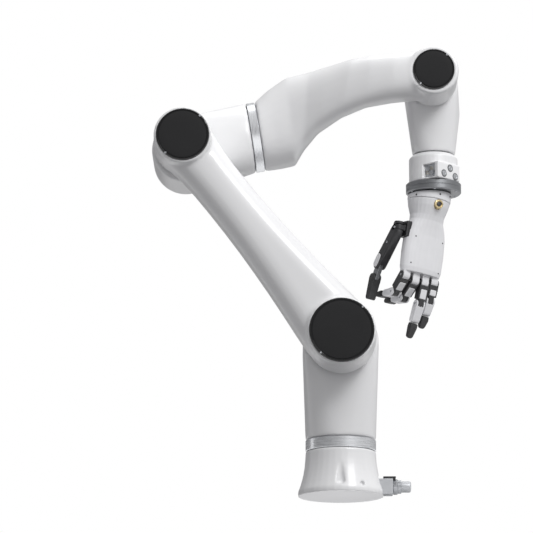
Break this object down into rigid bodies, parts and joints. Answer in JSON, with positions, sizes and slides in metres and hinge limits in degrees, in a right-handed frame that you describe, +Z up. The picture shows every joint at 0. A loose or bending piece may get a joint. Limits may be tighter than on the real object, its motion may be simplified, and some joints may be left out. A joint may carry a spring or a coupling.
{
  "type": "collaborative robot arm",
  "caption": "Bench-mounted jointed robot arm with rounded white links, black joint caps and a humanoid gripping hand on its tool flange.",
  "frame": {"origin": "centre of the base's mounting face", "axes": "+Z up along joint 1; the arm lies near the XZ plane, its joint caps face -Y"},
  "size_m": [0.4755, 0.2162, 0.6765],
  "materials": {
    "white_paint": "satin gloss white paint",
    "machined_steel": "machined",
    "brushed_aluminium": "brushed",
    "black_gloss": "polished black",
    "black_plastic": "satin black",
    "grey_anodised": "anodised dark grey",
    "brass": "satin"
  },
  "bodies": {
    "base": {"base_housing": "white_paint", "j1_ring": "brushed_aluminium", "j1_drive": "machined_steel", "connector_socket": "grey_anodised", "connector_collar": "brushed_aluminium", "connector_cap": "grey_anodised"},
    "latch": {"connector_latch": "black_plastic"},
    "shoulder": {"shoulder_housing": "white_paint", "shoulder_rear_cover": "black_gloss", "j1_output_flange": "machined_steel", "j2_drive": "machined_steel"},
    "upper_arm": {"upper_arm_shell": "white_paint", "shoulder_cap": "black_gloss", "elbow_cap": "black_gloss", "j2_output_flange": "machined_steel", "j3_drive": "machined_steel"},
    "elbow": {"elbow_housing": "white_paint", "j3_output_flange": "machined_steel", "j4_drive": "machined_steel", "j4_ring": "brushed_aluminium"},
    "forearm": {"forearm_shell": "white_paint", "j4_output_flange": "machined_steel", "wrist_cap": "black_gloss", "j5_drive": "machined_steel"},
    "wrist": {"wrist_housing": "white_paint", "j5_output_flange": "machined_steel", "j6_drive": "machined_steel"},
    "tool": {"tool_flange": "white_paint", "io_socket": "machined_steel", "adaptor_plate": "grey_anodised", "hand_collar": "white_paint", "hand_shell": "white_paint", "palm_pad": "black_plastic", "hand_socket": "brass", "thumb_base": "black_plastic"},
    "button_1": {"button_1": "brushed_aluminium"},
    "button_2": {"button_2": "brushed_aluminium"},
    "button_3": {"button_3": "brushed_aluminium"},
    "thumb_metacarpal": {"thumb_metacarpal": "black_plastic", "thumb_side_plate": "white_paint"},
    "thumb_phalanx": {"thumb_phalanx": "grey_anodised"},
    "thumb_tip": {"thumb_tip": "black_plastic"},
    "index_proximal": {"index_frame": "black_plastic", "index_insert": "white_paint"},
    "index_distal": {"index_distal": "white_paint", "index_tip": "black_plastic"},
    "middle_proximal": {"middle_frame": "black_plastic", "middle_insert": "white_paint"},
    "middle_distal": {"middle_distal": "white_paint", "middle_tip": "black_plastic"},
    "ring_proximal": {"ring_frame": "black_plastic", "ring_insert": "white_paint"},
    "ring_distal": {"ring_distal": "white_paint", "ring_tip": "black_plastic"},
    "pinky_proximal": {"pinky_frame": "black_plastic", "pinky_insert": "white_paint"},
    "pinky_distal": {"pinky_distal": "white_paint", "pinky_tip": "black_plastic"}
  },
  "joints": [
    {"name": "joint_1", "type": "hinge", "parent": "base", "child": "shoulder", "pos_m": [0, 0, 0.0855], "axis": [0, 0, 1], "range_deg": [-175, 175]},
    {"name": "joint_2", "type": "hinge", "parent": "shoulder", "child": "upper_arm", "pos_m": [0, 0, 0.228], "axis": [0, -1, 0], "range_deg": [-60, 38]},
    {"name": "joint_3", "type": "hinge", "parent": "upper_arm", "child": "elbow", "pos_m": [-0.238, 0, 0.528], "axis": [0, -1, 0], "range_deg": [-2, 95]},
    {"name": "joint_4", "type": "hinge", "parent": "elbow", "child": "forearm", "pos_m": [-0.13, 0, 0.5615], "axis": [0.9877, 0, 0.1564], "range_deg": [-90, 90]},
    {"name": "joint_5", "type": "hinge", "parent": "forearm", "child": "wrist", "pos_m": [0.142, 0, 0.636], "axis": [0, -1, 0], "range_deg": [-5, 110]},
    {"name": "joint_6", "type": "hinge", "parent": "wrist", "child": "tool", "pos_m": [0.145, 0, 0.5315], "axis": [0, 0, 1], "range_deg": [-175, 175]},
    {"name": "latch_pivot", "type": "hinge", "parent": "base", "child": "latch", "pos_m": [0.0645, 0, 0.0288], "axis": [0, -1, 0], "range_deg": [0, 60]},
    {"name": "button_1_press", "type": "slide", "parent": "tool", "child": "button_1", "axis": [-0.7071, 0.7071, 0], "range_m": [0, 0.0015], "stiffness_N_per_m": 300},
    {"name": "button_2_press", "type": "slide", "parent": "tool", "child": "button_2", "axis": [-0.7071, 0.7071, 0], "range_m": [0, 0.0015], "stiffness_N_per_m": 300},
    {"name": "button_3_press", "type": "slide", "parent": "tool", "child": "button_3", "axis": [-0.7071, 0.7071, 0], "range_m": [0, 0.0015], "stiffness_N_per_m": 300},
    {"name": "thumb_swing", "type": "hinge", "parent": "tool", "child": "thumb_metacarpal", "pos_m": [0.09013, -0.02098, 0.4139], "axis": [0.1305, 0, 0.9914], "range_deg": [0, 50]},
    {"name": "thumb_knuckle", "type": "hinge", "parent": "thumb_metacarpal", "child": "thumb_phalanx", "pos_m": [0.06207, 0.01294, 0.36313], "axis": [-0.8408, -0.5299, 0.1107], "range_deg": [-8, 28]},
    {"name": "thumb_tip_joint", "type": "hinge", "parent": "thumb_phalanx", "child": "thumb_tip", "pos_m": [0.0546, 0.02057, 0.34293], "axis": [-0.8408, -0.5299, 0.1107], "range_deg": [-7, 25]},
    {"name": "index_knuckle", "type": "hinge", "parent": "tool", "child": "index_proximal", "pos_m": [0.09923, -0.01404, 0.34008], "axis": [0.8408, 0.5299, -0.1107], "range_deg": [-38, 32]},
    {"name": "index_joint", "type": "hinge", "parent": "index_proximal", "child": "index_distal", "pos_m": [0.08425, 0.00504, 0.31771], "axis": [0.8408, 0.5299, -0.1107], "range_deg": [-38.5, 32.5]},
    {"name": "middle_knuckle", "type": "hinge", "parent": "tool", "child": "middle_proximal", "pos_m": [0.11329, -0.00477, 0.33319], "axis": [0.8408, 0.5299, -0.1107], "range_deg": [-38, 32]},
    {"name": "middle_joint", "type": "hinge", "parent": "middle_proximal", "child": "middle_distal", "pos_m": [0.09786, 0.0149, 0.31014], "axis": [0.8408, 0.5299, -0.1107], "range_deg": [-38.5, 32.5]},
    {"name": "ring_knuckle", "type": "hinge", "parent": "tool", "child": "ring_proximal", "pos_m": [0.128, 0.0045, 0.33125], "axis": [0.8408, 0.5299, -0.1107], "range_deg": [-8, 74]},
    {"name": "ring_joint", "type": "hinge", "parent": "ring_proximal", "child": "ring_distal", "pos_m": [0.12133, 0.0084, 0.29917], "axis": [0.8408, 0.5299, -0.1107], "range_deg": [-9.3, 81.9]},
    {"name": "pinky_knuckle", "type": "hinge", "parent": "tool", "child": "pinky_proximal", "pos_m": [0.14282, 0.01351, 0.33333], "axis": [0.8408, 0.5299, -0.1107], "range_deg": [-8, 74]},
    {"name": "pinky_joint", "type": "hinge", "parent": "pinky_proximal", "child": "pinky_distal", "pos_m": [0.13695, 0.01694, 0.30514], "axis": [0.8408, 0.5299, -0.1107], "range_deg": [-9.3, 81.9]}
  ],
  "couplings": [
    {"joint": "thumb_tip_joint", "follows": "thumb_knuckle", "ratio": 0.8},
    {"joint": "index_joint", "follows": "index_knuckle", "ratio": 1},
    {"joint": "middle_joint", "follows": "middle_knuckle", "ratio": 1},
    {"joint": "ring_joint", "follows": "ring_knuckle", "ratio": 1.1},
    {"joint": "pinky_joint", "follows": "pinky_knuckle", "ratio": 1.1}
  ]
}
